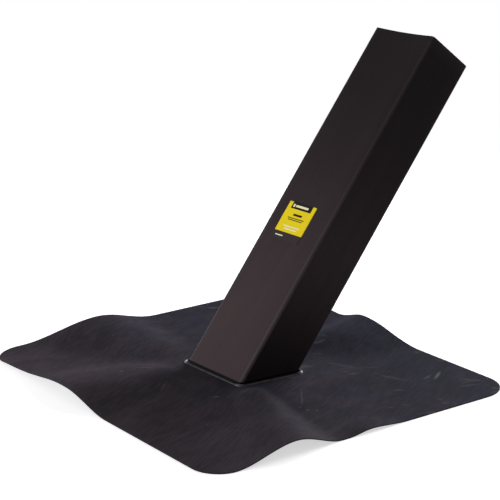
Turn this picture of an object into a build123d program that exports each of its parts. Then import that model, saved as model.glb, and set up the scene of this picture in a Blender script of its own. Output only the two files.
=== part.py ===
from build123d import *
from math import ceil, cos, hypot, pi, radians, sin, tan
import os

# Flat roof outlet: a slanted rectangular tube bonded into a loose sheet of rubber roofing membrane.
# Lengths are in mm and angles in degrees. The floor that the sheet lies on is z = 0, and the
# origin is the point of the floor under the middle of the tube's foot. +X is the way the tube
# leans, and +Y runs along the tube's wide side.

# Outlet tube
tube_width = 100.0
tube_depth = 65.0
tube_wall = 3.0
tube_corner_radius = 4.0
tube_length = 416.0
tube_slope = 53.9

# How the foot sits on the folded sheet: its height, and the small tip and roll that the weight
# of the slanted tube gives it
foot_height = 6.7
foot_tip = 1.8
foot_roll = 1.4

# Raised rubber collar round the foot
collar_height = 2.2
collar_width = 3.0
collar_groove = 1.2
collar_corner_radius = 6.0
collar_edge_radius = 0.9

# Rubber membrane
sheet_length_x = 402.6
sheet_length_y = 440.6
sheet_thickness = 1.2
sheet_corner_radii = {"left": 43.0, "front": 32.0, "right": 40.0, "back": 38.0}
corner_signs = {"left": (-1, 1), "front": (-1, -1), "right": (1, -1), "back": (1, 1)}
sheet_turn = 0.9
grid_step = 11.0

# The raised pad of the sheet under the foot and how far it takes to come down to the floor
pad_border = 6.0
pad_spread = 85.0

# Folds of the sheet, each named by the way it runs from the foot. A crest starts beside the foot
# and ends at the sheet's edge; its height and its two half widths, left and right of the crest
# when seen from the foot, are those at the edge. start_share is the half width kept at the foot.
folds = {
    "front_left": {
        "start": (-54.0, 12.0),
        "end": (-201.0, 47.0),
        "height": 13.0,
        "left": 84.0,
        "right": 128.0,
        "start_share": 0.5,
    },
    "left_corner": {
        "start": (-110.0, 130.0),
        "end": (-204.0, 172.0),
        "height": 2.6,
        "left": 60.0,
        "right": 34.0,
        "start_share": 0.8,
    },
    "front": {
        "start": (-44.0, -62.0),
        "end": (-97.0, -221.0),
        "height": 13.9,
        "left": 59.0,
        "right": 67.0,
        "start_share": 0.5,
    },
    "front_ripple": {
        "start": (10.0, -120.0),
        "end": (1.0, -221.0),
        "height": 3.3,
        "left": 48.0,
        "right": 34.0,
        "start_share": 0.7,
    },
    "back_left": {
        "start": (-8.0, 60.0),
        "end": (-52.0, 220.0),
        "height": 14.7,
        "left": 96.0,
        "right": 85.0,
        "start_share": 0.35,
    },
    "back_right": {
        "start": (52.0, 22.0),
        "end": (201.0, 30.0),
        "height": 15.0,
        "left": 50.0,
        "right": 101.0,
        "start_share": 0.5,
    },
    "back_corner": {
        "start": (60.0, 66.0),
        "end": (201.0, 98.0),
        "height": 6.3,
        "left": 75.0,
        "right": 75.0,
        "start_share": 0.5,
    },
}
fold_rise = 0.4
fold_start_height = 0.4

# Label on the tube's upper face: its middle is label_along up the face from the collar and
# label_across off the face's centre line
label_width = 48.0
label_height = 47.0
label_thickness = 0.15
label_corner_radius = 1.0
label_along = 188.0
label_across = 5.0

foot_plane_x = tube_depth / sin(radians(tube_slope))
collar_reach = collar_groove + collar_width
tube_end_below = collar_height + sheet_thickness

foot_frame = Location((0, 0, foot_height), (-foot_roll, foot_tip, 0))
sheet_frame = Location((0, 0, 0), (0, 0, sheet_turn))
tube_frame = foot_frame * Location((0, 0, 0), (0, 90 - tube_slope, 0))


def smooth_step(value):
    """Rises from 0 to 1 with level ends as value goes from 0 to 1."""
    value = min(max(value, 0.0), 1.0)
    return value * value * (3.0 - 2.0 * value)


def pad_height(x, y):
    """Height of the pad that carries the collar, fading out round the foot."""
    seat = foot_frame * Location((0, 0, -tube_end_below))
    level = seat.position.Z
    level -= tan(radians(foot_tip)) * x
    level -= tan(radians(foot_roll)) * y
    outside_x = max(abs(x) - foot_plane_x / 2 - collar_reach - pad_border, 0.0)
    outside_y = max(abs(y) - tube_width / 2 - collar_reach - pad_border, 0.0)
    return max(level, 0.0) * (1.0 - smooth_step(hypot(outside_x, outside_y) / pad_spread))


def fold_height(fold, x, y):
    """Height of one fold: a rounded crest that widens and grows from the foot to the edge."""
    start_x, start_y = fold["start"]
    end_x, end_y = fold["end"]
    length = hypot(end_x - start_x, end_y - start_y)
    along_x = (end_x - start_x) / length
    along_y = (end_y - start_y) / length
    along = ((x - start_x) * along_x + (y - start_y) * along_y) / length
    across = (y - start_y) * along_x - (x - start_x) * along_y
    if along <= 0.0:
        return 0.0
    edge_width = fold["left"] if across > 0.0 else fold["right"]
    half_width = edge_width * (fold["start_share"] + (1.0 - fold["start_share"]) * along)
    if abs(across) >= half_width:
        return 0.0
    rise = smooth_step(along / fold_rise)
    rise *= fold_start_height + (1.0 - fold_start_height) * along
    return fold["height"] * rise * cos(pi / 2 * across / half_width) ** 2


def underside_height(x, y):
    """Height of the sheet's underside over the floor, at a point of the sheet's own frame."""
    turned = sheet_frame * Location((x, y, 0))
    height = pad_height(turned.position.X, turned.position.Y)
    for fold in folds.values():
        height += fold_height(fold, x, y)
    return height


def grid_values(length):
    """Evenly spaced places along a side of the sheet, both ends included."""
    count = ceil(length / grid_step)
    return [-length / 2 + length * index / count for index in range(count + 1)]


def make_tube_outside(below, above):
    """The tube's outer form, from below the foot's middle to above it along the axis."""
    outline = RectangleRounded(tube_depth, tube_width, tube_corner_radius)
    return tube_frame * Location((0, 0, -below)) * extrude(outline, amount=above + below)


def make_tube():
    """Hollow tube, mitred flush with the sheet's underside and cut square at the far end."""
    reach_below = tube_depth + tube_end_below
    bore_outline = RectangleRounded(
        tube_depth - 2 * tube_wall,
        tube_width - 2 * tube_wall,
        max(tube_corner_radius - tube_wall, 0.5),
    )
    bore = extrude(bore_outline, amount=tube_length + 2 * reach_below)
    bore = tube_frame * Location((0, 0, -1.5 * reach_below)) * bore
    tube = make_tube_outside(reach_below, tube_length) - bore
    cutter_size = 4 * tube_depth
    cutter = Box(cutter_size, cutter_size, cutter_size, align=(Align.CENTER, Align.CENTER, Align.MAX))
    return tube - foot_frame * Location((0, 0, -tube_end_below)) * cutter


def sheet_section(y):
    """Outline of the sheet where it crosses one Y of its own frame."""
    low = [Vector(x, y, underside_height(x, y)) for x in grid_values(sheet_length_x)]
    high = [point + Vector(0, 0, sheet_thickness) for point in low]
    return Wire(
        [
            Edge.make_spline(low),
            Edge.make_line(low[-1], high[-1]),
            Edge.make_spline(high),
            Edge.make_line(high[0], low[0]),
        ]
    )


def make_corner_cutter(name):
    """Waste piece outside the arc of one corner of the sheet."""
    sign_x, sign_y = corner_signs[name]
    radius = sheet_corner_radii[name]
    arc_x = sign_x * (sheet_length_x / 2 - radius)
    arc_y = sign_y * (sheet_length_y / 2 - radius)
    waste = Location((sign_x * radius, sign_y * radius, 0)) * Rectangle(2 * radius, 2 * radius)
    waste -= Circle(radius)
    tallest = max(fold["height"] for fold in folds.values())
    return Location((arc_x, arc_y, -tallest)) * extrude(waste, amount=5 * tallest)


def make_membrane():
    """Folded sheet with rounded corners and a hole that fits the tube's outside."""
    sheet = Solid.make_loft([sheet_section(y) for y in grid_values(sheet_length_y)])
    sheet -= [make_corner_cutter(name) for name in corner_signs]
    return sheet_frame * sheet - make_tube_outside(tube_depth, tube_depth)


def make_collar(membrane):
    """Rubber ring that stands round the tube's foot, seated on the sheet."""
    outline = RectangleRounded(
        foot_plane_x + 2 * collar_reach,
        tube_width + 2 * collar_reach,
        collar_corner_radius,
    )
    opening = RectangleRounded(
        tube_depth + 2 * collar_groove,
        tube_width + 2 * collar_groove,
        tube_corner_radius + collar_groove,
    )
    seat_depth = 0.8 * sheet_thickness
    block = extrude(outline, amount=collar_height + seat_depth)
    block = foot_frame * Location((0, 0, -collar_height - seat_depth)) * block
    block -= tube_frame * Location((0, 0, -tube_depth)) * extrude(opening, amount=2 * tube_depth)
    ring = block - membrane
    top = [edge for edge in ring.edges() if abs((foot_frame.inverse() * edge).center().Z) < 0.01]
    return fillet(top, collar_edge_radius)


def make_label():
    """Thin adhesive label on the tube's upper face."""
    sticker = extrude(
        RectangleRounded(label_height, label_width, label_corner_radius),
        amount=label_thickness,
    )
    foot_edge_up_axis = -foot_plane_x / 2 * cos(radians(tube_slope))
    face_frame = tube_frame * Location((-tube_depth / 2, 0, foot_edge_up_axis), (0, -90, 0))
    return face_frame * Location((label_along, label_across, 0)) * sticker


membrane = make_membrane()
nodes = {
    "outlet_tube": make_tube(),
    "membrane": membrane,
    "foot_collar": make_collar(membrane),
    "product_label": make_label(),
}

os.makedirs("parts", exist_ok=True)
for name, solid in nodes.items():
    export_step(solid, f"parts/{name}.step")
    print(name, round(solid.volume), "mm3")
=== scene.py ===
from math import cos, pi, radians, sin, tan

import bmesh
import bpy
from bpy.props import FloatProperty, FloatVectorProperty, PointerProperty
from mathutils import Matrix, Vector
from mathutils.geometry import delaunay_2d_cdt


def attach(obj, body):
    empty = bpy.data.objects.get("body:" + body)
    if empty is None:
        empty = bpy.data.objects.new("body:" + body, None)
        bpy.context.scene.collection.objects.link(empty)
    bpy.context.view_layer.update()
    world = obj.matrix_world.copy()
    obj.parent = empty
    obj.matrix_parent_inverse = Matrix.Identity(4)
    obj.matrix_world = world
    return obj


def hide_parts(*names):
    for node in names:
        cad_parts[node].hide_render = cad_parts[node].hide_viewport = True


bl_info = {
    "name": "Flat roof outlet",
    "version": (1, 0, 0),
    "blender": (4, 5, 0),
    "location": "3D View > Sidebar > Roof outlet",
    "description": "Dresses a slanted rainwater tube, its folded rubber sheet, foot ring and label",
    "category": "Object",
}

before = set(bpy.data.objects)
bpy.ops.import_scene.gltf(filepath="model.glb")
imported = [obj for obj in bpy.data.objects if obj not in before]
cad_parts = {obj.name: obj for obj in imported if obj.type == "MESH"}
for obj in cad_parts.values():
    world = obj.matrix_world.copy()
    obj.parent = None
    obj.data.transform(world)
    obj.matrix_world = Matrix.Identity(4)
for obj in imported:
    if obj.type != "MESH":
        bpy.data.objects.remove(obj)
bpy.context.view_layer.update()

# Sizes shared with the solids, in metres and radians
TUBE_WIDTH = 0.100
TUBE_DEPTH = 0.065
TUBE_WALL = 0.003
TUBE_CORNER = 0.004
TUBE_LENGTH = 0.416
TUBE_SLOPE = radians(53.9)
FOOT_HEIGHT = 0.0067
FOOT_TIP = radians(1.8)
FOOT_ROLL = radians(1.4)
COLLAR_HEIGHT = 0.0022
COLLAR_WIDTH = 0.003
COLLAR_GROOVE = 0.0012
SHEET_X = 0.4026
SHEET_Y = 0.4406
SHEET_THICKNESS = 0.0012
SHEET_TURN = radians(0.9)
SHEET_CORNERS = {"left": 0.043, "front": 0.032, "right": 0.040, "back": 0.038}
PAD_BORDER = 0.006
PAD_SPREAD = 0.085
LABEL_WIDTH = 0.048
LABEL_HEIGHT = 0.047
LABEL_ALONG = 0.188
LABEL_ACROSS = 0.005

FOOT_X = TUBE_DEPTH / sin(TUBE_SLOPE)
COLLAR_REACH = COLLAR_GROOVE + COLLAR_WIDTH
TUBE_BELOW = COLLAR_HEIGHT + SHEET_THICKNESS
TUBE_TILT = pi / 2 - TUBE_SLOPE

FOOT_FRAME = (
    Matrix.Translation((0, 0, FOOT_HEIGHT))
    @ Matrix.Rotation(-FOOT_ROLL, 4, "X")
    @ Matrix.Rotation(FOOT_TIP, 4, "Y")
)
TUBE_FRAME = FOOT_FRAME @ Matrix.Rotation(TUBE_TILT, 4, "Y")
SHEET_FRAME = Matrix.Rotation(SHEET_TURN, 4, "Z")

# The X, Y and Z axes of the foot and of the tube in the scene
FOOT_AXES = [tuple(axis) for axis in FOOT_FRAME.to_3x3().col]
TUBE_AXES = [tuple(axis) for axis in TUBE_FRAME.to_3x3().col]

# Sides of the four corners of a rectangle, counter-clockwise
QUARTERS = ((1, 1), (-1, 1), (-1, -1), (1, -1))

# Spacing of the points round the sheet's hole and the ring
HOLE_SPACING = 0.004

# Folds of the sheet in its own frame: crest start and end, height, the half widths left and right
# of the crest at the sheet's edge, the share of them at the foot, and the share of the length over
# which the crest rises
FOLDS = {
    "front_left": ((-0.046, 0.034), (-0.201, 0.048), 0.0130, 0.086, 0.128, 0.22, 0.35),
    "left_corner": ((-0.110, 0.130), (-0.204, 0.172), 0.0026, 0.060, 0.034, 0.8, 0.5),
    "front": ((-0.036, -0.050), (-0.097, -0.221), 0.0139, 0.059, 0.067, 0.34, 0.10),
    "front_ripple": ((0.006, -0.165), (0.001, -0.221), 0.0033, 0.048, 0.034, 0.8, 1.0),
    "back_left": ((-0.035, 0.056), (-0.052, 0.220), 0.0147, 0.100, 0.085, 0.42, 0.40),
    "back_right": ((0.040, 0.004), (0.201, 0.030), 0.0150, 0.050, 0.101, 0.45, 0.75),
    "back_corner": ((0.060, 0.066), (0.201, 0.098), 0.0063, 0.075, 0.075, 0.5, 0.4),
}

# A crest's height where it starts, as a share of that at the edge, and the width of the border
# round the foot over which the folds come up
FOLD_START_HEIGHT = 0.3
FOLD_MARGIN = 0.022


class Field:
    """An output socket in a node tree, with its maths written as Python expressions."""

    def __init__(self, tree, socket):
        self.tree = tree
        self.socket = socket

    def maths(self, operation, *values):
        settings = {"operation": operation}
        return add_node(self.tree, "ShaderNodeMath", settings, dict(enumerate(values)))

    def __add__(self, other):
        return self.maths("ADD", self, other)

    def __radd__(self, other):
        return self.maths("ADD", other, self)

    def __sub__(self, other):
        return self.maths("SUBTRACT", self, other)

    def __rsub__(self, other):
        return self.maths("SUBTRACT", other, self)

    def __mul__(self, other):
        return self.maths("MULTIPLY", self, other)

    def __rmul__(self, other):
        return self.maths("MULTIPLY", other, self)

    def __truediv__(self, other):
        return self.maths("DIVIDE", self, other)

    def __pow__(self, other):
        return self.maths("POWER", self, other)

    def __gt__(self, other):
        return self.maths("GREATER_THAN", self, other)

    def __abs__(self):
        return self.maths("ABSOLUTE", self)

    def cosine(self):
        return self.maths("COSINE", self)

    def at_least(self, other):
        return self.maths("MAXIMUM", self, other)

    def at_most(self, other):
        return self.maths("MINIMUM", self, other)

    def step(self, low, high, first=0.0, last=1.0):
        """Goes smoothly from first to last as this value goes from low to high."""
        return add_node(
            self.tree,
            "ShaderNodeMapRange",
            {"interpolation_type": "SMOOTHSTEP"},
            {"Value": self, "From Min": low, "From Max": high, "To Min": first, "To Max": last},
            "Result",
        )

    def parts(self):
        """The X, Y and Z of a vector."""
        node = self.tree.nodes.new("ShaderNodeSeparateXYZ")
        self.tree.links.new(self.socket, node.inputs[0])
        return [Field(self.tree, output) for output in node.outputs]

    def vector(self, operation, *values, output="Vector"):
        settings = {"operation": operation}
        inputs = dict(enumerate((self, *values)))
        return add_node(self.tree, "ShaderNodeVectorMath", settings, inputs, output)


def add_node(tree, kind, settings=None, inputs=None, output=0):
    """Adds any node: its settings first, then its sockets' values or links."""
    node = tree.nodes.new(kind)
    for name, value in (settings or {}).items():
        setattr(node, name, value)
    for key, value in (inputs or {}).items():
        socket = find_socket(node.inputs, key)
        if isinstance(value, Field):
            tree.links.new(value.socket, socket)
        else:
            socket.default_value = value
    return Field(tree, find_socket(node.outputs, output))


def find_socket(sockets, key):
    """A socket by number, or the enabled one by name."""
    if isinstance(key, int):
        return sockets[key]
    named = [socket for socket in sockets if socket.name == key]
    return next((socket for socket in named if socket.enabled), named[0])


def join_vector(tree, x, y, z):
    return add_node(tree, "ShaderNodeCombineXYZ", {}, {"X": x, "Y": y, "Z": z})


def mix_colour(tree, share, first, second, blend="MIX"):
    """A colour between two, or one laid over the other by a blend mode."""
    first, second = (
        colour if isinstance(colour, Field) else (*colour, 1.0) for colour in (first, second)
    )
    settings = {"data_type": "RGBA", "blend_type": blend}
    return add_node(tree, "ShaderNodeMix", settings, {0: share, 6: first, 7: second}, 2)


def shaded(tree, colour, shade):
    """A colour made darker or lighter by a factor."""
    return mix_colour(tree, 1.0, colour, join_vector(tree, shade, shade, shade), "MULTIPLY")


def start_material(name):
    """A new material with only its output and a Principled BSDF."""
    material = bpy.data.materials.new(name)
    material.use_nodes = True
    tree = material.node_tree
    surface = next(node for node in tree.nodes if node.type == "BSDF_PRINCIPLED")
    return material, tree, surface


def link_surface(tree, surface, specular, colour, roughness, normal):
    """Sets the strength of a surface's reflection and links what varies over it."""
    surface.inputs["Specular IOR Level"].default_value = specular
    tree.links.new(colour.socket, surface.inputs["Base Color"])
    tree.links.new(roughness.socket, surface.inputs["Roughness"])
    tree.links.new(normal.socket, surface.inputs["Normal"])


def object_place(tree):
    return add_node(tree, "ShaderNodeTexCoord", output="Object")


def reach_along(place, axis):
    """How far a place lies along an axis."""
    return place.vector("DOT_PRODUCT", axis, output="Value")


def drawn_out(tree, place, stretch, turn, middle=(0, 0, 0)):
    """A place in axes that are moved to a middle, turned and drawn out."""
    inputs = {"Vector": place, "Location": middle, "Rotation": turn, "Scale": stretch}
    return add_node(tree, "ShaderNodeMapping", {"vector_type": "TEXTURE"}, inputs)


def noise(tree, place, scale, detail=2.0, roughness=0.5, stretch=(1, 1, 1), turn=(0, 0, 0)):
    """Noise from 0 to 1, finer as scale grows, drawn out by stretch along its turned axes."""
    spot = drawn_out(tree, place, stretch, turn)
    inputs = {"Vector": spot, "Scale": scale, "Detail": detail, "Roughness": roughness}
    return add_node(tree, "ShaderNodeTexNoise", {}, inputs, "Fac")


def bump(tree, height, distance, strength, under=None):
    """A normal that follows a height, over another normal where one is given."""
    inputs = {"Height": height, "Distance": distance, "Strength": strength}
    if under is not None:
        inputs["Normal"] = under
    return add_node(tree, "ShaderNodeBump", {}, inputs, "Normal")


def rounded_corner(middle, radius, quarter, steps):
    """Points of a quarter circle; quarter 0 runs from +X to +Y, and so on round."""
    turns = [pi / 2 * (quarter + step / steps) for step in range(steps + 1)]
    return [middle + radius * Vector((cos(angle), sin(angle))) for angle in turns]


def divide_loop(points, spacing):
    """Adds points to a closed loop, about as far apart as spacing where its runs are longer."""
    divided = []
    for first, second in zip(points, points[1:] + points[:1]):
        count = max(1, round((second - first).length / spacing))
        divided += [first.lerp(second, step / count) for step in range(count)]
    return divided


def rounded_rectangle(size_x, size_y, radius, steps=6):
    """Corners and sides of a rounded rectangle about the origin, counter-clockwise."""
    points = []
    for quarter, (side_x, side_y) in enumerate(QUARTERS):
        middle = Vector((side_x * (size_x / 2 - radius), side_y * (size_y / 2 - radius)))
        points += rounded_corner(middle, radius, quarter, steps)
    return points


def bridge(mesh, first, second):
    """Adds the faces between two closed rings of as many points."""
    count = len(first)
    for i in range(count):
        j = (i + 1) % count
        mesh.faces.new((first[i], first[j], second[j], second[i]))


def foot_level(point):
    """How far along the tube a point of its section meets the level of the sheet's underside."""
    return (point.x * sin(TUBE_TILT) - TUBE_BELOW) / cos(TUBE_TILT)


# Rubber sheet

# Triangles of the sheet's mesh: the distance between rows of points, and the least distance of a
# point from the sheet's edges, both as shares of the mesh spacing, and the least distance at which
# two points stay apart
ROW_SHARE = 0.87
CLEAR_SHARE = 0.55
SAME_PLACE = 1e-7

# Fineness of the slight unevenness of the raised parts, and the height at which it is full
RIPPLE_SCALE = 24.0
RIPPLE_HEIGHT = 0.004


def sheet_outline(inset, steps=14):
    """The sheet's edge in its own frame, moved in by inset, counter-clockwise."""
    points = []
    for quarter, name in enumerate(("back", "left", "front", "right")):
        side_x, side_y = QUARTERS[quarter]
        corner = SHEET_CORNERS[name]
        middle = Vector((side_x * (SHEET_X / 2 - corner), side_y * (SHEET_Y / 2 - corner)))
        points += rounded_corner(middle, corner - inset, quarter, steps)
    return points


def tube_hole():
    """Where the tube's outside crosses the sheet, in the sheet's frame."""
    to_sheet = SHEET_FRAME.inverted() @ TUBE_FRAME
    section = rounded_rectangle(TUBE_DEPTH, TUBE_WIDTH, TUBE_CORNER)
    section = divide_loop(section, HOLE_SPACING)
    return [(to_sheet @ Vector((*point, foot_level(point)))).to_2d() for point in section]


def fill_plan(outline, hole, spacing):
    """Triangles between an outline and a hole, with evenly spaced points between them."""
    loops = [outline, hole]
    points = outline + hole
    edges = []
    first = 0
    for loop in loops:
        edges += [(first + i, first + (i + 1) % len(loop)) for i in range(len(loop))]
        first += len(loop)
    box_x = max(abs(point.x) for point in outline)
    box_y = max(abs(point.y) for point in outline)
    rows = round(2 * box_y / (spacing * ROW_SHARE))
    columns = round(2 * box_x / spacing)
    border = [a.lerp(b, 0.5) for loop in loops for a, b in zip(loop, loop[1:] + loop[:1])] + points
    cells = {}
    for point in border:
        cells.setdefault((round(point.x / spacing), round(point.y / spacing)), []).append(point)
    inside = []
    for row in range(1, rows):
        y = -box_y + 2 * box_y * row / rows
        for column in range(1, columns):
            x = -box_x + 2 * box_x * (column + 0.5 * (row % 2)) / columns
            point = Vector((x, y))
            cell = (round(x / spacing), round(y / spacing))
            near = [
                other
                for dx in (-1, 0, 1)
                for dy in (-1, 0, 1)
                for other in cells.get((cell[0] + dx, cell[1] + dy), ())
            ]
            if any((other - point).length < CLEAR_SHARE * spacing for other in near):
                continue
            if holds(outline, point) and not holds(hole, point):
                inside.append(point)
    places, _, faces, *_ = delaunay_2d_cdt(points + inside, edges, [], 1, SAME_PLACE)
    kept = []
    for face in faces:
        centre = sum((places[i] for i in face), Vector((0, 0))) / len(face)
        if not holds(hole, centre):
            kept.append(face)
    return places, kept


def holds(loop, point):
    """Whether a closed loop goes round a point."""
    inside = False
    for a, b in zip(loop, loop[1:] + loop[:1]):
        if (a.y > point.y) != (b.y > point.y):
            if point.x < (b.x - a.x) * (point.y - a.y) / (b.y - a.y) + a.x:
                inside = not inside
    return inside


def flat_sheet_mesh(spacing, edge_round):
    """The sheet before it lies in folds: flat, with its hole and softly rounded cut edges."""
    outline = divide_loop(sheet_outline(edge_round), spacing)
    rim = divide_loop(sheet_outline(0.0), spacing)
    hole = tube_hole()
    mesh = bmesh.new()
    places, faces = fill_plan(outline, hole, spacing)
    if len(outline) != len(rim):
        raise RuntimeError("the sheet's rim and outline need the same number of points")
    top = [mesh.verts.new((p.x, p.y, SHEET_THICKNESS)) for p in places]
    bottom = [mesh.verts.new((p.x, p.y, 0.0)) for p in places]
    for face in faces:
        mesh.faces.new([top[i] for i in face])
        mesh.faces.new([bottom[i] for i in reversed(face)])
    lower = [mesh.verts.new((p.x, p.y, edge_round)) for p in rim]
    upper = [mesh.verts.new((p.x, p.y, SHEET_THICKNESS - edge_round)) for p in rim]
    count = len(rim)
    bridge(mesh, bottom[:count], lower)
    bridge(mesh, lower, upper)
    bridge(mesh, upper, top[:count])
    last = count + len(hole)
    bridge(mesh, top[count:last], bottom[count:last])
    bmesh.ops.recalc_face_normals(mesh, faces=mesh.faces)
    return mesh


def start_tree(name, inputs, output, output_kind):
    """A new geometry tree with one output, and its named inputs as fields."""
    tree = bpy.data.node_groups.new(name, "GeometryNodeTree")
    for label, kind in inputs.items():
        tree.interface.new_socket(label, in_out="INPUT", socket_type="NodeSocket" + kind)
    tree.interface.new_socket(output, in_out="OUTPUT", socket_type="NodeSocket" + output_kind)
    source = tree.nodes.new("NodeGroupInput")
    return tree, {socket.name: Field(tree, socket) for socket in source.outputs if socket.name}


def end_tree(tree, result):
    """Links a tree's result to its output."""
    target = tree.nodes.new("NodeGroupOutput")
    tree.links.new(result.socket, target.inputs[0])
    return tree


def fold_group():
    """Node group: the height of one fold at a place of the sheet."""
    inputs = {
        "Place": "Vector",
        "Start": "Vector",
        "End": "Vector",
        "Height": "Float",
        "Left Width": "Float",
        "Right Width": "Float",
        "Start Share": "Float",
        "Rise": "Float",
    }
    tree, given = start_tree("Sheet fold", inputs, "Height", "Float")
    run = given["End"].vector("SUBTRACT", given["Start"])
    length = run.vector("LENGTH", output="Value")
    course = run.vector("NORMALIZE")
    offset = given["Place"].vector("SUBTRACT", given["Start"])
    along = offset.vector("DOT_PRODUCT", course, output="Value") / length
    across = course.vector("CROSS_PRODUCT", offset).parts()[2]
    is_left = across > 0.0
    edge_width = is_left * given["Left Width"] + (1.0 - is_left) * given["Right Width"]
    share = given["Start Share"] + (1.0 - given["Start Share"]) * along.at_least(0.0)
    reach = (abs(across) / (edge_width * share)).at_most(1.0)
    rise = along.step(0.0, given["Rise"]) * (FOLD_START_HEIGHT + (1.0 - FOLD_START_HEIGHT) * along)
    return end_tree(tree, given["Height"] * rise * (reach * (pi / 2)).cosine() ** 2.0)


def sheet_tree():
    """Node tree that lays the flat sheet over the foot's pad and in its folds."""
    inputs = {
        "Geometry": "Geometry",
        "Turn": "Float",
        "Pad Height": "Float",
        "Pad Spread": "Float",
        "Fold Scale": "Float",
        "Ripple": "Float",
        "Material": "Material",
    }
    tree, given = start_tree("Sheet lying in folds", inputs, "Geometry", "Geometry")
    own_place = add_node(tree, "GeometryNodeInputPosition", output="Position")
    own_x, own_y, _ = own_place.parts()
    flat_place = join_vector(tree, own_x, own_y, 0.0)
    turn = join_vector(tree, 0.0, 0.0, given["Turn"])
    inputs = {"Vector": flat_place, "Rotation": turn}
    turned = add_node(tree, "ShaderNodeVectorRotate", {"rotation_type": "EULER_XYZ"}, inputs)
    x, y, _ = turned.parts()
    level = given["Pad Height"] - tan(FOOT_TIP) * x - tan(FOOT_ROLL) * y
    outside_x = (abs(x) - (FOOT_X / 2 + COLLAR_REACH + PAD_BORDER)).at_least(0.0)
    outside_y = (abs(y) - (TUBE_WIDTH / 2 + COLLAR_REACH + PAD_BORDER)).at_least(0.0)
    away = (outside_x * outside_x + outside_y * outside_y) ** 0.5
    pad = level.at_least(0.0) * (1.0 - away.step(0.0, given["Pad Spread"]))
    group = fold_group()
    raised = 0.0
    for start, end, tall, left, right, share, rise in FOLDS.values():
        raised = raised + add_node(
            tree,
            "GeometryNodeGroup",
            {"node_tree": group},
            {
                "Place": flat_place,
                "Start": (*start, 0.0),
                "End": (*end, 0.0),
                "Height": given["Fold Scale"] * tall,
                "Left Width": left,
                "Right Width": right,
                "Start Share": share,
                "Rise": rise,
            },
            "Height",
        )
    height = pad + raised * away.step(0.0, FOLD_MARGIN)
    inputs = {"Vector": flat_place, "Scale": RIPPLE_SCALE, "Detail": 1.0, "Roughness": 0.4}
    wave = add_node(tree, "ShaderNodeTexNoise", {}, inputs, "Fac")
    lift = (wave - 0.5) * given["Ripple"] * away.step(0.002, 0.03)
    height = (height + lift * height.step(0.0, RIPPLE_HEIGHT)).at_least(0.0)
    sheet = given["Geometry"]
    for kind, inputs in (
        ("GeometryNodeSetPosition", {"Offset": join_vector(tree, 0.0, 0.0, height)}),
        ("GeometryNodeTransform", {"Rotation": turn}),
        ("GeometryNodeRealizeInstances", {}),
        ("GeometryNodeSetMaterial", {"Material": given["Material"]}),
    ):
        sheet = add_node(tree, kind, {}, {"Geometry": sheet, **inputs})
    return end_tree(tree, sheet)


# Chalky marks on the sheet, and painted highlight streaks where two folds catch the light: middle x
# and y, length, width, turn in degrees and strength
MARKS = {
    "right_rub": (0.163, -0.138, 0.036, 0.0060, 35, 0.85),
    "right_rub_tail": (0.150, -0.136, 0.024, 0.0050, 20, 0.5),
    "right_fold_painted_highlight_end": (0.118, -0.115, 0.046, 0.0100, -67, 0.2),
    "right_fold_painted_highlight": (0.098, -0.055, 0.070, 0.0140, -66, 0.14),
    "front_curve": (-0.003, -0.110, 0.058, 0.0034, 54, 0.3),
    "front_speck_a": (-0.016, -0.137, 0.0050, 0.0040, 0, 0.6),
    "front_speck_b": (-0.009, -0.144, 0.0045, 0.0036, 0, 0.5),
    "front_speck_c": (-0.019, -0.128, 0.0042, 0.0034, 0, 0.5),
    "front_dash": (-0.079, -0.061, 0.0090, 0.0030, -30, 0.8),
    "left_dash": (-0.122, 0.058, 0.0090, 0.0040, -36, 0.7),
    "left_crest_painted_highlight": (-0.095, 0.053, 0.026, 0.0040, -36, 0.35),
    "left_curve": (-0.103, 0.003, 0.036, 0.0030, 40, 0.28),
}


def marks_and_painted_streaks(tree, place):
    """The strongest of all chalky marks and painted highlight streaks at a place of the sheet."""
    strongest = 0.0
    for x, y, length, width, turn, strength in MARKS.values():
        size = (length / 2, width / 2, 1.0)
        spot = drawn_out(tree, place, size, (0.0, 0.0, radians(turn)), (x, y, 0.0))
        mark = spot.vector("LENGTH", output="Value").step(0.15, 1.0, strength, 0.0)
        strongest = mark.at_least(strongest)
    return strongest


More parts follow.
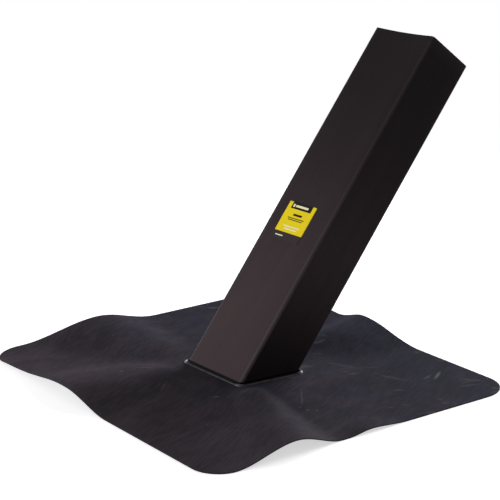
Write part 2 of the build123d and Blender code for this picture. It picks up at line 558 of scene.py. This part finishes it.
def rubber_sheet_material(sizes):
    """Matt rolled rubber: cloudy black, fine diagonal rolling lines, chalky scuffs and specks, and
    painted highlight streaks on folds.
    """
    material, tree, surface = start_material("Rolled roofing rubber")
    place = object_place(tree)
    cloud = noise(tree, place, 9.0, 3.0, 0.55)
    rolled = (0.0, 0.0, radians(28))
    lines = noise(tree, place, 320.0, 3.0, 0.55, stretch=(6.0, 1.0, 1.0), turn=rolled)
    bands = noise(tree, place, 40.0, 2.0, 0.5, stretch=(2.5, 1.0, 1.0), turn=rolled)
    grain = noise(tree, place, 900.0, 2.0, 0.6)
    x, y, _ = place.parts()
    patches = noise(tree, place, 30.0, 2.0, 0.5)
    warm = ((patches - 0.5) * 1.6 - x * 3.2 - y * 0.4).step(-0.5, 0.6)
    base = mix_colour(tree, warm, sizes.cool_colour, sizes.warm_colour)
    shade = cloud.step(0.3, 0.7, 0.84, 1.14) * lines.step(0.32, 0.68, 0.88, 1.14)
    base = shaded(tree, base, shade * bands.step(0.3, 0.7, 0.9, 1.1))

    swept = (0.0, 0.0, radians(-30))
    scuff_lines = noise(tree, place, 70.0, 4.0, 0.7, stretch=(3.0, 1.0, 1.0), turn=swept)
    scuff_spots = noise(tree, place, 13.0, 1.0, 0.4)
    scuffs = scuff_lines.step(0.57, 0.70) * scuff_spots.step(0.48, 0.62) * x.step(-0.08, 0.1)
    specks = add_node(tree, "ShaderNodeTexVoronoi", {}, {"Vector": place, "Scale": 95.0})
    speck_field = noise(tree, place, 21.0, 1.0, 0.5).step(0.52, 0.6)
    dust_and_painted_streaks = (scuffs * 0.35).at_least(specks.step(0.07, 0.02) * speck_field * 0.8)
    # Chalky marks together with painted highlight streaks along lit folds
    chalk_and_painted_streaks = marks_and_painted_streaks(tree, place) * grain.step(0.35, 0.6, 0.35, 1.0)
    dust_and_painted_streaks = dust_and_painted_streaks.at_least(chalk_and_painted_streaks)
    base = mix_colour(tree, dust_and_painted_streaks * sizes.dust_and_highlight_amount, base, sizes.dust_and_highlight_colour)
    rough = cloud.step(0.2, 0.8, sizes.roughness - 0.05, sizes.roughness + 0.06)
    relief = bump(tree, lines, 0.0004, 0.5)
    relief = bump(tree, grain, 0.00006, 0.6, relief)
    link_surface(tree, surface, sizes.specular, base, rough, relief)
    return material


class SheetSizes(bpy.types.PropertyGroup):
    spacing: FloatProperty(
        name="Mesh spacing",
        description="Distance between the points of the sheet's mesh",
        default=0.0042,
        min=0.002,
        unit="LENGTH",
    )
    edge_round: FloatProperty(
        name="Edge rounding",
        description="How far the sheet's cut edge is worn round",
        default=0.00025,
        unit="LENGTH",
    )
    fold_scale: FloatProperty(
        name="Fold scale",
        description="Height of the folds against those of the photographed sheet",
        default=1.0,
        subtype="FACTOR",
    )
    ripple: FloatProperty(
        name="Ripple",
        description="Height of the slight unevenness on the raised parts",
        default=0.0012,
        unit="LENGTH",
    )
    cool_colour: FloatVectorProperty(
        name="Bluish black",
        description="Colour of the rubber on the side that the tube leans over",
        default=(0.0240, 0.0232, 0.0345),
        subtype="COLOR",
    )
    warm_colour: FloatVectorProperty(
        name="Brownish black",
        description="Colour of the rubber on the far side from the lean",
        default=(0.0370, 0.0302, 0.0370),
        subtype="COLOR",
    )
    # Colour of the chalky scuffs and specks, also used for the painted highlight streaks
    dust_and_highlight_colour: FloatVectorProperty(
        name="Dust",
        description="Colour of chalky scuffs and specks",
        default=(0.16, 0.16, 0.175),
        subtype="COLOR",
    )
    # Strength of the chalky scuffs and specks and of the painted highlight streaks
    dust_and_highlight_amount: FloatProperty(
        name="Dust amount",
        description="How strongly scuffs and specks show",
        default=0.85,
        subtype="FACTOR",
    )
    roughness: FloatProperty(
        name="Roughness",
        description="Roughness of the rubber's face",
        default=0.75,
        subtype="FACTOR",
    )
    specular: FloatProperty(
        name="Specular level",
        description="Strength of the rubber's reflection",
        default=0.008,
        subtype="FACTOR",
    )


def plain_mesh(obj, tree, name, values):
    """Runs a node tree on an object and keeps the result as an ordinary mesh."""
    modifier = obj.modifiers.new("Form", "NODES")
    modifier.node_group = tree
    for item in tree.interface.items_tree:
        if item.item_type == "SOCKET" and item.in_out == "INPUT" and item.name in values:
            modifier[item.identifier] = values[item.name]
    graph = bpy.context.evaluated_depsgraph_get()
    shaped = bpy.data.meshes.new_from_object(obj.evaluated_get(graph))
    obj.modifiers.remove(modifier)
    old = obj.data
    obj.data = shaped
    bpy.data.meshes.remove(old)
    shaped.name = name


def add_object(name, mesh, material=None):
    """Turns an edit mesh into an object of the scene at the origin."""
    data = bpy.data.meshes.new(name)
    mesh.to_mesh(data)
    mesh.free()
    if material is not None:
        data.materials.append(material)
    obj = bpy.data.objects.new(name, data)
    bpy.context.scene.collection.objects.link(obj)
    return obj


def smooth(obj, angle=radians(40)):
    """Shades smooth, with sharp edges where faces meet at more than an angle."""
    obj.data.shade_smooth()
    obj.data.set_sharp_from_angle(angle=angle)


class ROOF_OT_sheet(bpy.types.Operator):
    """Make the rubber sheet that lies in folds round the tube's foot"""

    bl_idname = "roof.sheet"
    bl_label = "Rubber sheet"

    def execute(self, context):
        sizes = context.scene.roof_sheet
        material = rubber_sheet_material(sizes)
        sheet = add_object("rubber_sheet", flat_sheet_mesh(sizes.spacing, sizes.edge_round))
        values = {
            "Turn": SHEET_TURN,
            "Pad Height": (FOOT_FRAME @ Vector((0, 0, -TUBE_BELOW))).z,
            "Pad Spread": PAD_SPREAD,
            "Fold Scale": sizes.fold_scale,
            "Ripple": sizes.ripple,
            "Material": material,
        }
        plain_mesh(sheet, sheet_tree(), "rubber_sheet", values)
        smooth(sheet)
        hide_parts("membrane")
        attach(sheet, "root")
        return {"FINISHED"}


# Tube

# Painted shade low on the tube's side faces and how strongly it shows, and the painted shade of the
# groove beside the ring
SIDE_SHADE_COLOUR = (0.004, 0.0035, 0.004)
SIDE_SHADE_AMOUNT = 0.7
GROOVE_SHADE_COLOUR = (0.003, 0.0025, 0.003)

# Runs along the tube, and about the longest step between the points of its section
TUBE_RUNS = 24
SECTION_SPACING = 0.012


def tube_material(sizes):
    """Satin black plastic, drawn lengthwise, with painted light that makes it warmer and paler
    towards the foot, a painted highlight along the long edges and painted shade low on the sides
    and beside the ring.
    """
    material, tree, surface = start_material("Drawn black plastic")
    place = object_place(tree)
    along = reach_along(place, TUBE_AXES[2])
    lean = (0.0, TUBE_TILT + FOOT_TIP, 0.0)
    draw = noise(tree, place, 120.0, 3.0, 0.6, stretch=(1.0, 1.0, 25.0), turn=lean)
    cloud = noise(tree, place, 14.0, 3.0, 0.5)
    grain = noise(tree, place, 1400.0, 2.0, 0.5)
    # Painted light and shade: the plastic is paler and warmer at the foot and darker towards the
    # square end
    base = mix_colour(tree, along.step(0.02, 0.36), sizes.foot_painted_light_colour, sizes.end_painted_shade_colour)
    from_foot = place.vector("SUBTRACT", tuple(TUBE_FRAME.translation))
    beside_x = reach_along(from_foot, TUBE_AXES[0]) + TUBE_DEPTH / 2
    beside_y = TUBE_WIDTH / 2 - abs(reach_along(from_foot, TUBE_AXES[1]))
    # Painted highlight along the long edges of the upper face, fainter towards the square end
    worn = ((beside_x * beside_x + beside_y * beside_y) ** 0.5).step(0.0018, 0.0045, 1.0, 0.0)
    worn = worn * along.step(0.0, 0.3, 1.0, 0.35)
    base = mix_colour(tree, worn * sizes.edge_highlight_amount, base, sizes.edge_highlight_colour)
    # Painted shade on the side faces, darkest at the foot
    low_side_painted_shade = beside_y.step(0.0002, 0.001, 1.0, 0.0) * along.step(0.0, 0.16, 1.0, 0.0)
    low_side_painted_shade = low_side_painted_shade * (beside_x > TUBE_CORNER) * SIDE_SHADE_AMOUNT
    base = mix_colour(tree, low_side_painted_shade, base, SIDE_SHADE_COLOUR)
    # Painted shade in the groove between the tube and the ring
    groove_painted_shade = reach_along(from_foot, FOOT_AXES[2]).step(0.0004, 0.0016, 1.0, 0.0)
    base = mix_colour(tree, groove_painted_shade, base, GROOVE_SHADE_COLOUR)
    shade = draw.step(0.2, 0.8, 0.93, 1.07) * cloud.step(0.25, 0.75, 0.94, 1.06)
    base = shaded(tree, base, shade)
    rough = cloud.step(0.2, 0.8, sizes.roughness - 0.04, sizes.roughness + 0.05)
    relief = bump(tree, draw, 0.00012, 0.35)
    relief = bump(tree, grain, 0.00003, 0.5, relief)
    link_surface(tree, surface, sizes.specular, base, rough, relief)
    return material


def tube_mesh(sizes):
    """Open tube, softly rounded at its square end and cut level with the sheet's underside."""
    mesh = bmesh.new()
    inner_corner = max(TUBE_CORNER - TUBE_WALL, 0.0008)
    outer = rounded_rectangle(TUBE_DEPTH, TUBE_WIDTH, TUBE_CORNER)
    outer = divide_loop(outer, SECTION_SPACING)
    inner_x = TUBE_DEPTH - 2 * TUBE_WALL
    inner_y = TUBE_WIDTH - 2 * TUBE_WALL
    inner = divide_loop(rounded_rectangle(inner_x, inner_y, inner_corner), SECTION_SPACING)
    rim = sizes.rim_round

    def add_ring(points, share, drop, shrink):
        """One ring of the wall, share of the way from the foot cut to the square end."""
        ring = []
        for point in points:
            low = foot_level(point)
            z = low + (TUBE_LENGTH - low) * share + drop
            bow = sizes.face_bow * (4 * share * (1 - share))
            across_x = 1 - (2 * point.x / TUBE_DEPTH) ** 2
            across_y = 1 - (2 * point.y / TUBE_WIDTH) ** 2
            is_wide_face = abs(point.x) / TUBE_DEPTH > abs(point.y) / TUBE_WIDTH
            inward = bow * max(across_y if is_wide_face else across_x, 0.0)
            if is_wide_face and point.x < 0:
                end_share = max(share - sizes.dish_start, 0.0) / (1 - sizes.dish_start)
                inward += sizes.end_dish * end_share**2 * max(across_y, 0.0)
            normal = Vector((1, 0)) if is_wide_face else Vector((0, 1))
            sign = 1 if point.dot(normal) > 0 else -1
            moved = point - normal * sign * inward - shrink * point.normalized()
            ring.append(mesh.verts.new(TUBE_FRAME @ Vector((moved.x, moved.y, z))))
        return ring

    def stitch(outside, inside):
        """Joins two rings of different counts with a fan of triangles and quads."""
        edges = []
        for ring in (outside, inside):
            for i in range(len(ring)):
                j = (i + 1) % len(ring)
                edge = mesh.edges.get((ring[i], ring[j])) or mesh.edges.new((ring[i], ring[j]))
                edges.append(edge)
        bmesh.ops.bridge_loops(mesh, edges=edges)

    shares = [step / TUBE_RUNS for step in range(TUBE_RUNS)]
    rings = [add_ring(outer, share, 0.0, 0.0) for share in shares]
    rings.append(add_ring(outer, 1.0, -rim, 0.0))
    rings.append(add_ring(outer, 1.0, -0.3 * rim, 0.3 * rim))
    rings.append(add_ring(outer, 1.0, 0.0, rim))
    for first, second in zip(rings, rings[1:]):
        bridge(mesh, first, second)
    bore = [add_ring(inner, share, 0.0, 0.0) for share in shares]
    bore.append(add_ring(inner, 1.0, -rim, 0.0))
    bore.append(add_ring(inner, 1.0, 0.0, -rim))
    for first, second in zip(bore, bore[1:]):
        bridge(mesh, second, first)
    stitch(rings[-1], bore[-1])
    stitch(rings[0], bore[0])
    bmesh.ops.recalc_face_normals(mesh, faces=mesh.faces)
    return mesh


class TubeSizes(bpy.types.PropertyGroup):
    rim_round: FloatProperty(
        name="Rim rounding",
        description="Softening of the tube's cut end",
        default=0.0004,
        unit="LENGTH",
    )
    face_bow: FloatProperty(
        name="Face bow",
        description="How far the flat faces sink between their corners at mid length",
        default=0.00035,
        unit="LENGTH",
    )
    end_dish: FloatProperty(
        name="End dish",
        description="How far the upper face sinks between its corners at the square end",
        default=0.0026,
        unit="LENGTH",
    )
    dish_start: FloatProperty(
        name="Dish start",
        description="Share of the tube's length at which the upper face starts to sink",
        default=0.6,
        subtype="FACTOR",
    )
    # Painted light: the paler colour at the foot
    foot_painted_light_colour: FloatVectorProperty(
        name="Colour at the foot",
        description="Colour of the plastic near the foot",
        default=(0.0440, 0.0320, 0.0352),
        subtype="COLOR",
    )
    # Painted shade: the darker colour towards the square end
    end_painted_shade_colour: FloatVectorProperty(
        name="Colour at the end",
        description="Colour of the plastic near the square end",
        default=(0.0150, 0.0115, 0.0130),
        subtype="COLOR",
    )
    # Painted highlight along the long edges of the upper face: its colour and how strongly it shows
    edge_highlight_colour: FloatVectorProperty(
        name="Lit edge colour",
        description="Colour of the rubbed long edges of the upper face",
        default=(0.120, 0.100, 0.106),
        subtype="COLOR",
    )
    edge_highlight_amount: FloatProperty(
        name="Edge light",
        description="How strongly the rubbed edges show",
        default=0.6,
        subtype="FACTOR",
    )
    roughness: FloatProperty(
        name="Roughness",
        description="Roughness of the plastic",
        default=0.48,
        subtype="FACTOR",
    )
    specular: FloatProperty(
        name="Specular level",
        description="Strength of the plastic's reflection",
        default=0.02,
        subtype="FACTOR",
    )


class ROOF_OT_tube(bpy.types.Operator):
    """Make the slanted rectangular tube"""

    bl_idname = "roof.tube"
    bl_label = "Outlet tube"

    def execute(self, context):
        sizes = context.scene.roof_tube
        tube = add_object("rainwater_tube", tube_mesh(sizes), tube_material(sizes))
        smooth(tube, radians(30))
        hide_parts("outlet_tube")
        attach(tube, "root")
        return {"FINISHED"}


# Foot ring

# Corner radius of the ring's middle line, the steps over its back, and how much dimmer the painted
# glints on its front and back corners are than those on the other two
RING_CORNER = 0.0045
RING_STEPS = 10
DULLER = 0.7


def ring_material(sizes):
    """Black sealing rubber with painted highlights: a pale line low on its flanks, brighter on its
    shaded side, and glints at its corners.
    """
    material, tree, surface = start_material("Highlighted sealing rubber")
    place = object_place(tree)
    smear = noise(tree, place, 160.0, 3.0, 0.6)
    from_foot = place.vector("SUBTRACT", tuple(FOOT_FRAME.translation))
    own_x, own_y, own_z = (reach_along(from_foot, axis) for axis in FOOT_AXES)
    # Painted highlight: a pale line low on the ring's flanks
    flank = own_z.step(-0.0013, -0.0009, 1.0, 0.0) * smear.step(0.25, 0.5, 0.5, 1.0)
    # Painted glints at the ring's corners, dimmer at the front and back corners
    corner_x = (abs(own_x) - FOOT_X / 2).step(-0.0035, -0.0005)
    corner_y = (abs(own_y) - TUBE_WIDTH / 2).step(-0.0035, -0.0005)
    corner = corner_x * corner_y * (1.0 - (own_x * own_y > 0.0) * DULLER)
    # Painted light that brightens the pale line on the ring's shaded −Y side
    shaded_side_lift = own_y.step(-TUBE_WIDTH / 2 - 0.003, -TUBE_WIDTH / 2, 0.35, 0.0)
    highlighted = mix_colour(tree, shaded_side_lift, sizes.flank_highlight_colour, sizes.glint_colour)
    base = mix_colour(tree, flank, sizes.colour, highlighted)
    base = mix_colour(tree, corner, base, sizes.glint_colour)
    rough = smear.step(0.2, 0.8, sizes.roughness - 0.06, sizes.roughness + 0.1)
    relief = bump(tree, smear, 0.0002, 0.5)
    link_surface(tree, surface, sizes.specular, base, rough, relief)
    return material


def ring_mesh(sizes):
    """A bead of sealing rubber with a round back that runs round the foot."""
    mesh = bmesh.new()
    beside = 2 * COLLAR_GROOVE + COLLAR_WIDTH
    path = rounded_rectangle(FOOT_X + beside, TUBE_WIDTH + beside, RING_CORNER, 8)
    path = divide_loop(path, HOLE_SPACING)
    count = len(path)
    rings = []
    for i, point in enumerate(path):
        run = (path[(i + 1) % count] - path[i - 1]).normalized()
        outward = Vector((run.y, -run.x))
        ring = []
        for step in range(RING_STEPS + 1):
            angle = pi * step / RING_STEPS
            side = COLLAR_WIDTH / 2 * cos(angle)
            top = COLLAR_HEIGHT * (sin(angle) ** sizes.squareness - 1)
            place = point + outward * side
            ring.append(mesh.verts.new(FOOT_FRAME @ Vector((place.x, place.y, top))))
        for side in (-1, 1):
            place = point + outward * side * COLLAR_WIDTH / 2
            low = FOOT_FRAME @ Vector((place.x, place.y, -COLLAR_HEIGHT - SHEET_THICKNESS / 2))
            ring.append(mesh.verts.new(low))
        rings.append(ring)
    for i in range(count):
        first, second = rings[i], rings[(i + 1) % count]
        for step in range(len(first)):
            after = (step + 1) % len(first)
            mesh.faces.new((first[step], second[step], second[after], first[after]))
    bmesh.ops.recalc_face_normals(mesh, faces=mesh.faces)
    return mesh


class RingSizes(bpy.types.PropertyGroup):
    squareness: FloatProperty(
        name="Squareness",
        description="How flat the ring's back is: 1 is round and lower is flatter",
        default=0.8,
        subtype="FACTOR",
    )
    colour: FloatVectorProperty(
        name="Colour",
        description="Colour of the sealing rubber",
        default=(0.0015, 0.0012, 0.0015),
        subtype="COLOR",
    )
    # Painted highlight on the ring's flank
    flank_highlight_colour: FloatVectorProperty(
        name="Highlighted colour",
        description="Colour of the ring's rubbed flank",
        default=(0.042, 0.038, 0.044),
        subtype="COLOR",
    )
    # Painted glints on the corners, also mixed into the flank's painted highlight on the shaded
    # side
    glint_colour: FloatVectorProperty(
        name="Corner colour",
        description="Colour of the rubbed corners",
        default=(0.27, 0.26, 0.28),
        subtype="COLOR",
    )
    roughness: FloatProperty(
        name="Roughness",
        description="Roughness of the ring",
        default=0.34,
        subtype="FACTOR",
    )
    specular: FloatProperty(
        name="Specular level",
        description="Strength of the ring's reflection",
        default=0.05,
        subtype="FACTOR",
    )


class ROOF_OT_ring(bpy.types.Operator):
    """Make the sealing ring round the tube's foot"""

    bl_idname = "roof.ring"
    bl_label = "Foot ring"

    def execute(self, context):
        sizes = context.scene.roof_ring
        ring = add_object("sealing_ring", ring_mesh(sizes), ring_material(sizes))
        smooth(ring, radians(60))
        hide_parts("foot_collar")
        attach(ring, "root")
        return {"FINISHED"}


# Label

# Printed shapes as a share of the label, each from its lower left corner: x, y, width, height and
# the colour's name
LABEL_PRINT = {
    "head": (0.13, 0.83, 0.74, 0.19, "ink"),
    "foot": (-0.02, -0.02, 1.04, 0.235, "strip"),
    "foot_bar": (0.10, 0.10, 0.27, 0.025, "bar"),
    "title": (0.34, 0.66, 0.32, 0.055, "ink"),
    "line_a": (0.20, 0.585, 0.60, 0.022, "ink"),
    "line_b": (0.24, 0.54, 0.52, 0.022, "ink"),
    "line_c": (0.20, 0.36, 0.60, 0.030, "bar"),
    "line_d": (0.28, 0.29, 0.44, 0.030, "bar"),
    "head_bar": (0.28, 0.885, 0.46, 0.055, "bar"),
    "head_dot": (0.18, 0.875, 0.065, 0.075, "bar"),
}

# Half width of a printed edge, as a share of the label, and how deep the film reaches into the tube
PRINT_EDGE = 0.004
LABEL_SUNK = 0.0003


def within(place, low, size):
    """1 inside a printed shape along one side of the label and 0 outside it."""
    half = size / 2
    return abs(place - (low + half)).step(half - PRINT_EDGE, half + PRINT_EDGE, 1.0, 0.0)


def label_material(sizes):
    """Printed film: a yellow field with a dark head, a dark foot and plain bars."""
    material, tree, surface = start_material("Printed yellow film")
    spot = add_node(tree, "ShaderNodeUVMap", {"uv_map": "Label"}, {}, "UV")
    x, y, _ = spot.parts()
    colours = {"ink": sizes.ink_colour, "strip": sizes.strip_colour, "bar": sizes.bar_colour}
    base = sizes.field_colour
    for left, low, width, height, colour in LABEL_PRINT.values():
        inside = within(x, left, width) * within(y, low, height)
        base = mix_colour(tree, inside, base, colours[colour])
    crease = noise(tree, object_place(tree), 90.0, 2.0, 0.5)
    relief = bump(tree, crease, 0.0003, 0.25)
    rough = crease.step(0.2, 0.8, 0.3, 0.42)
    link_surface(tree, surface, sizes.specular, base, rough, relief)
    return material


def label_mesh(sizes):
    """Thin film with rounded corners on the tube's upper face, its print on a UV map."""
    mesh = bmesh.new()
    uv = mesh.loops.layers.uv.new("Label")
    foot_edge = -FOOT_X / 2 * cos(TUBE_SLOPE)
    face_frame = (
        TUBE_FRAME
        @ Matrix.Translation((-TUBE_DEPTH / 2, 0, foot_edge))
        @ Matrix.Rotation(-pi / 2, 4, "Y")
        @ Matrix.Translation((LABEL_ALONG, LABEL_ACROSS, 0))
    )
    flat = rounded_rectangle(LABEL_HEIGHT, LABEL_WIDTH, 0.001)
    low = [mesh.verts.new(face_frame @ Vector((*point, -LABEL_SUNK))) for point in flat]
    high = [mesh.verts.new(face_frame @ Vector((*point, sizes.lift))) for point in flat]
    mesh.faces.new(high)
    mesh.faces.new(list(reversed(low)))
    bridge(mesh, low, high)
    bmesh.ops.recalc_face_normals(mesh, faces=mesh.faces)
    to_label = face_frame.inverted()
    for face in mesh.faces:
        for loop in face.loops:
            spot = to_label @ loop.vert.co
            loop[uv].uv = (0.5 - spot.y / LABEL_WIDTH, 0.5 + spot.x / LABEL_HEIGHT)
    return mesh


class LabelSizes(bpy.types.PropertyGroup):
    lift: FloatProperty(
        name="Thickness",
        description="How far the film stands off the tube",
        default=0.00015,
        unit="LENGTH",
    )
    field_colour: FloatVectorProperty(
        name="Field",
        description="Colour of the label's field",
        default=(0.72, 0.56, 0.014),
        subtype="COLOR",
    )
    ink_colour: FloatVectorProperty(
        name="Ink",
        description="Colour of the dark print",
        default=(0.010, 0.009, 0.008),
        subtype="COLOR",
    )
    strip_colour: FloatVectorProperty(
        name="Foot strip",
        description="Colour of the strip along the label's foot",
        default=(0.032, 0.024, 0.026),
        subtype="COLOR",
    )
    bar_colour: FloatVectorProperty(
        name="Bars",
        description="Colour of the pale printed bars",
        default=(0.75, 0.72, 0.45),
        subtype="COLOR",
    )
    specular: FloatProperty(
        name="Specular level",
        description="Strength of the film's reflection",
        default=0.04,
        subtype="FACTOR",
    )


class ROOF_OT_label(bpy.types.Operator):
    """Make the printed label on the tube's upper face"""

    bl_idname = "roof.label"
    bl_label = "Label"

    def execute(self, context):
        sizes = context.scene.roof_label
        label = add_object("printed_label", label_mesh(sizes), label_material(sizes))
        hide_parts("product_label")
        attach(label, "root")
        return {"FINISHED"}


# Stage

# The photograph's camera, fitted to the tube's corners: how it is turned, its focal length and
# picture width in pixels, and its place along its own view, right and up axes
CAMERA_TILT = radians(16.23)
CAMERA_HEADING = radians(-35.89)
CAMERA_FOCAL = 1758.74
CAMERA_PIXELS = 500
CAMERA_PLACE = (-1.94449, 0.00742, 0.13395)
SENSOR_WIDTH = 36.0


def is_seen(tree):
    """1 for what the camera sees itself, in a reflection or through glass, and 0 for light."""
    rays = tree.nodes.new("ShaderNodeLightPath")
    seen = Field(tree, rays.outputs["Is Camera Ray"])
    seen = seen.at_least(Field(tree, rays.outputs["Is Glossy Ray"]))
    return seen.at_least(Field(tree, rays.outputs["Is Transmission Ray"]))


def floor_material(sizes):
    """Pale floor, lifted to white for the camera, that keeps the object's shadow."""
    material = bpy.data.materials.new("Pale floor")
    material.use_nodes = True
    tree = material.node_tree
    tree.nodes.clear()
    seen = is_seen(tree)
    distance = object_place(tree).vector("LENGTH", output="Value")
    matt = add_node(tree, "ShaderNodeBsdfDiffuse", {}, {"Color": (*sizes.floor_colour, 1.0)})
    lifted = add_node(tree, "ShaderNodeEmission", {}, {"Strength": seen * sizes.floor_lift})
    near = add_node(tree, "ShaderNodeAddShader", {}, {0: matt, 1: lifted})
    white = add_node(tree, "ShaderNodeEmission", {}, {"Strength": 1.0})
    far = seen * distance.step(sizes.floor_near, 2 * sizes.floor_near)
    both = add_node(tree, "ShaderNodeMixShader", {}, {0: far, 1: near, 2: white})
    output = tree.nodes.new("ShaderNodeOutputMaterial")
    tree.links.new(both.socket, output.inputs["Surface"])
    return material


def make_world(sizes):
    """Pure white for the camera and for reflections, dimmer as a light."""
    world = bpy.data.worlds.new("Studio")
    bpy.context.scene.world = world
    world.use_nodes = True
    tree = world.node_tree
    backdrop = next(node for node in tree.nodes if node.type == "BACKGROUND")
    seen = is_seen(tree)
    strength = seen + (1.0 - seen) * sizes.world_light
    tree.links.new(strength.socket, backdrop.inputs["Strength"])
    backdrop.inputs["Color"].default_value = (1.0, 1.0, 1.0, 1.0)


def add_lamp(name, place, target, size, power):
    """A soft rectangular lamp that looks from its place at a target."""
    lamp = bpy.data.lights.new(name, "AREA")
    lamp.shape = "RECTANGLE"
    lamp.size, lamp.size_y = size
    lamp.energy = power
    obj = bpy.data.objects.new(name, lamp)
    aim = Vector(target) - Vector(place)
    obj.matrix_world = Matrix.Translation(place) @ aim.to_track_quat("-Z", "Y").to_matrix().to_4x4()
    bpy.context.scene.collection.objects.link(obj)


def add_camera():
    """The camera at the photograph's viewing angle."""
    right = Vector((cos(CAMERA_HEADING), sin(CAMERA_HEADING), 0.0))
    ahead = Vector((-sin(CAMERA_HEADING), cos(CAMERA_HEADING), 0.0))
    forward = ahead * cos(CAMERA_TILT) - Vector((0.0, 0.0, sin(CAMERA_TILT)))
    up = right.cross(forward)
    place = sum((axis * part for axis, part in zip((forward, right, up), CAMERA_PLACE)), Vector())
    camera = bpy.data.cameras.new("Camera")
    camera.sensor_width = SENSOR_WIDTH
    camera.lens = SENSOR_WIDTH * CAMERA_FOCAL / CAMERA_PIXELS
    camera.dof.use_dof = False
    camera.clip_start = 0.05
    obj = bpy.data.objects.new("Camera", camera)
    turn = Matrix((right, up, -forward)).transposed().to_4x4()
    obj.matrix_world = Matrix.Translation(place) @ turn
    bpy.context.scene.collection.objects.link(obj)
    bpy.context.scene.camera = obj


class StageSizes(bpy.types.PropertyGroup):
    floor_colour: FloatVectorProperty(
        name="Floor",
        description="Colour of the floor",
        default=(0.80, 0.80, 0.80),
        subtype="COLOR",
    )
    floor_lift: FloatProperty(
        name="Floor lift",
        description="White added to the floor as the camera sees it",
        default=0.60,
        subtype="FACTOR",
    )
    floor_near: FloatProperty(
        name="Near floor",
        description="Radius of the floor round the object that keeps its shadow in full",
        default=0.6,
        unit="LENGTH",
    )
    floor_size: FloatProperty(
        name="Floor size",
        description="Length of the floor's sides",
        default=12.0,
        unit="LENGTH",
    )
    world_light: FloatProperty(
        name="Surrounding light",
        description="Strength of the soft light from all sides",
        default=0.24,
        subtype="FACTOR",
    )
    key_power: FloatProperty(
        name="Key lamp",
        description="Power of the large lamp on the side that the tube leans over",
        default=200.0,
        unit="POWER",
    )
    fill_power: FloatProperty(
        name="Fill lamp",
        description="Power of the low lamp before the tube's upper face",
        default=28.0,
        unit="POWER",
    )


class ROOF_OT_stage(bpy.types.Operator):
    """Make the floor, the lights and the camera"""

    bl_idname = "roof.stage"
    bl_label = "Stage"

    def execute(self, context):
        scene = context.scene
        sizes = scene.roof_stage
        mesh = bmesh.new()
        bmesh.ops.create_grid(mesh, x_segments=1, y_segments=1, size=sizes.floor_size / 2)
        floor = add_object("floor", mesh, floor_material(sizes))
        make_world(sizes)
        add_lamp("key", (3.05, 0.8, 1.08), (0.0, 0.0, 0.0), (2.6, 1.0), sizes.key_power)
        add_lamp("fill", (-1.4, 0.9, 0.3), (-0.03, 0.0, 0.1), (0.8, 0.5), sizes.fill_power)
        add_camera()
        scene.view_settings.view_transform = "Standard"
        return {"FINISHED"}


class ROOF_PT_panel(bpy.types.Panel):
    """Sidebar panel with the outlet's pieces and their sizes"""

    bl_idname = "ROOF_PT_panel"
    bl_label = "Roof outlet"
    bl_space_type = "VIEW_3D"
    bl_region_type = "UI"
    bl_category = "Roof outlet"

    def draw(self, context):
        for operator, group in (
            (ROOF_OT_stage, "roof_stage"),
            (ROOF_OT_sheet, "roof_sheet"),
            (ROOF_OT_tube, "roof_tube"),
            (ROOF_OT_ring, "roof_ring"),
            (ROOF_OT_label, "roof_label"),
        ):
            box = self.layout.box()
            box.operator(operator.bl_idname)
            sizes = getattr(context.scene, group)
            for name in type(sizes).__annotations__:
                box.prop(sizes, name)


GROUPS = {
    "roof_stage": StageSizes,
    "roof_sheet": SheetSizes,
    "roof_tube": TubeSizes,
    "roof_ring": RingSizes,
    "roof_label": LabelSizes,
}
OPERATORS = (ROOF_OT_stage, ROOF_OT_sheet, ROOF_OT_tube, ROOF_OT_ring, ROOF_OT_label)


def register():
    for group in GROUPS.values():
        bpy.utils.register_class(group)
    for operator in OPERATORS:
        bpy.utils.register_class(operator)
    bpy.utils.register_class(ROOF_PT_panel)
    for name, group in GROUPS.items():
        setattr(bpy.types.Scene, name, PointerProperty(type=group))


def unregister():
    for name in GROUPS:
        delattr(bpy.types.Scene, name)
    bpy.utils.unregister_class(ROOF_PT_panel)
    for operator in reversed(OPERATORS):
        bpy.utils.unregister_class(operator)
    for group in reversed(list(GROUPS.values())):
        bpy.utils.unregister_class(group)


def main():
    register()
    bpy.ops.roof.stage()
    bpy.ops.roof.sheet()
    bpy.ops.roof.tube()
    bpy.ops.roof.ring()
    bpy.ops.roof.label()
    bpy.context.view_layer.update()


if __name__ == "__main__":
    main()
